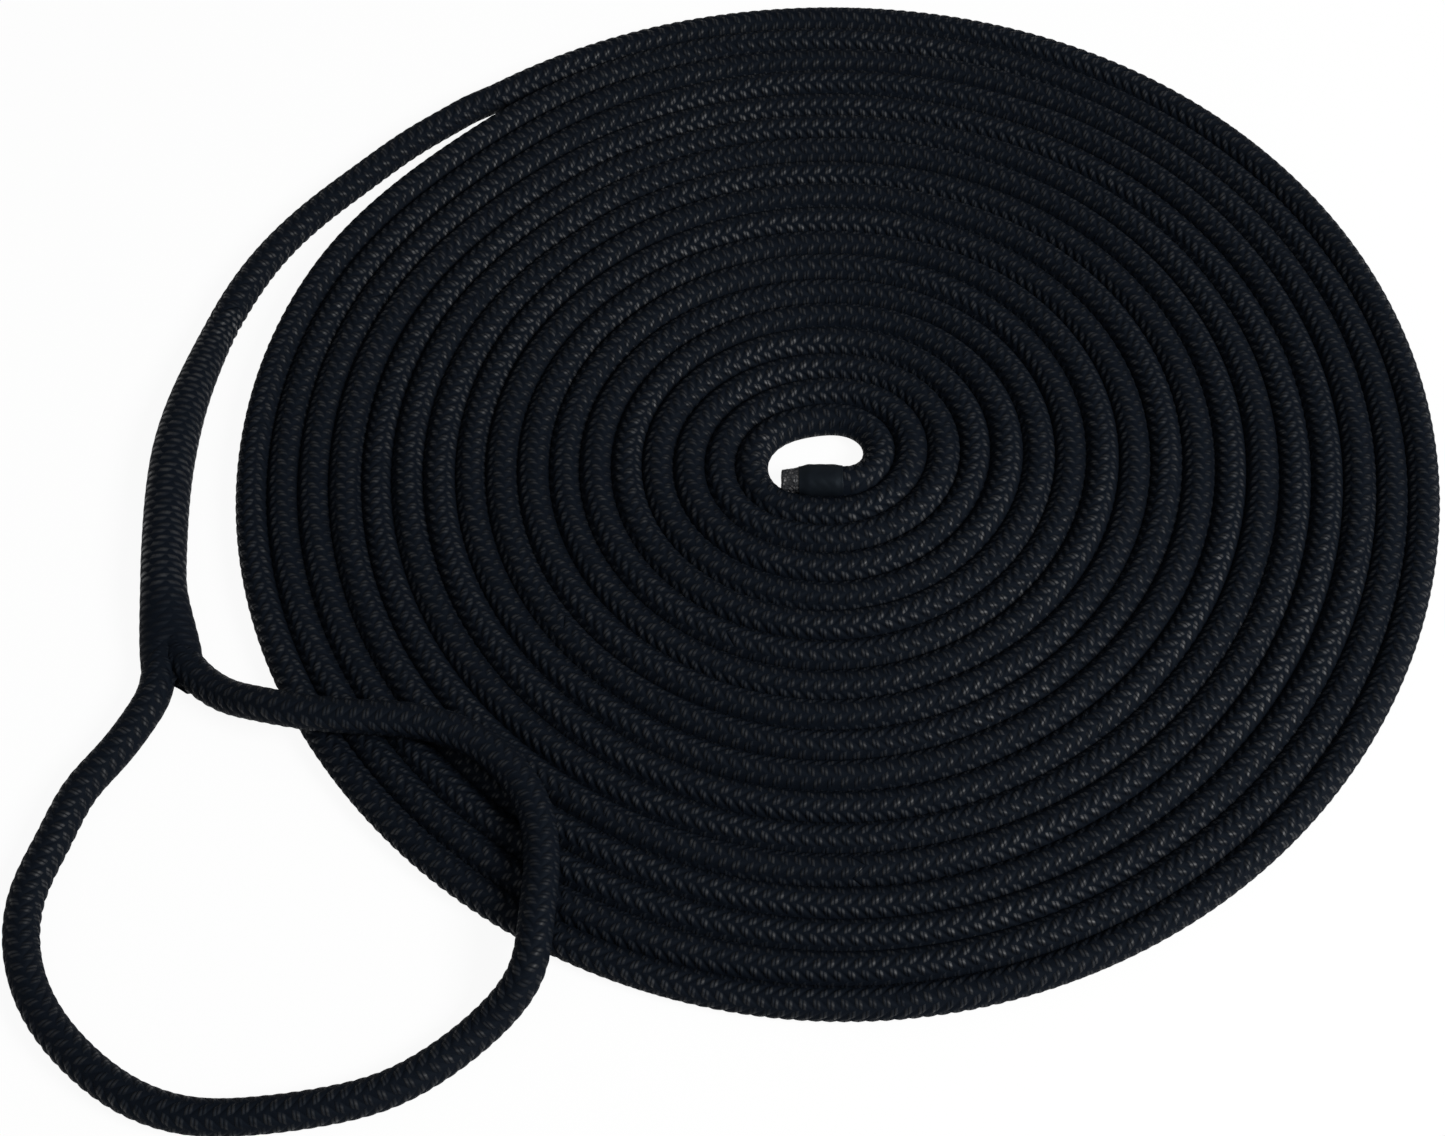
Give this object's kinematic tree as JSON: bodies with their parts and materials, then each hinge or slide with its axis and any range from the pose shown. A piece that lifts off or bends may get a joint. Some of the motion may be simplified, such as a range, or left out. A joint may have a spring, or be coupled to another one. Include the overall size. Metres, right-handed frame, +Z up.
{
  "type": "coiled dock line",
  "caption": "Black double-braid dock line laid down in a flat spiral coil, with a spliced eye at the free end and a sleeved, melted bitter end in the middle.",
  "frame": {"origin": "on the floor, under the middle of the whole line's box", "axes": "+Z up from the floor, +Y away from the viewer of the picture, +X to the viewer's right, along the longest extent"},
  "size_m": [0.5578, 0.528, 0.024],
  "materials": {
    "rope_cover": "braided black nylon, soft sheen",
    "rope_core": "braided white nylon",
    "shrink_sleeve": "smooth satin black shrink tube",
    "melted_tip": "glossy melted nylon"
  },
  "bodies": {
    "root": {"coil": "rope_cover", "end_sleeve": "shrink_sleeve", "sealed_tip": "melted_tip", "run_cover": "rope_cover", "splice_cover": "rope_cover", "standing_core": "rope_core", "buried_tail": "rope_cover", "eye_cover": "rope_cover", "eye_core": "rope_core"}
  },
  "joints": []
}
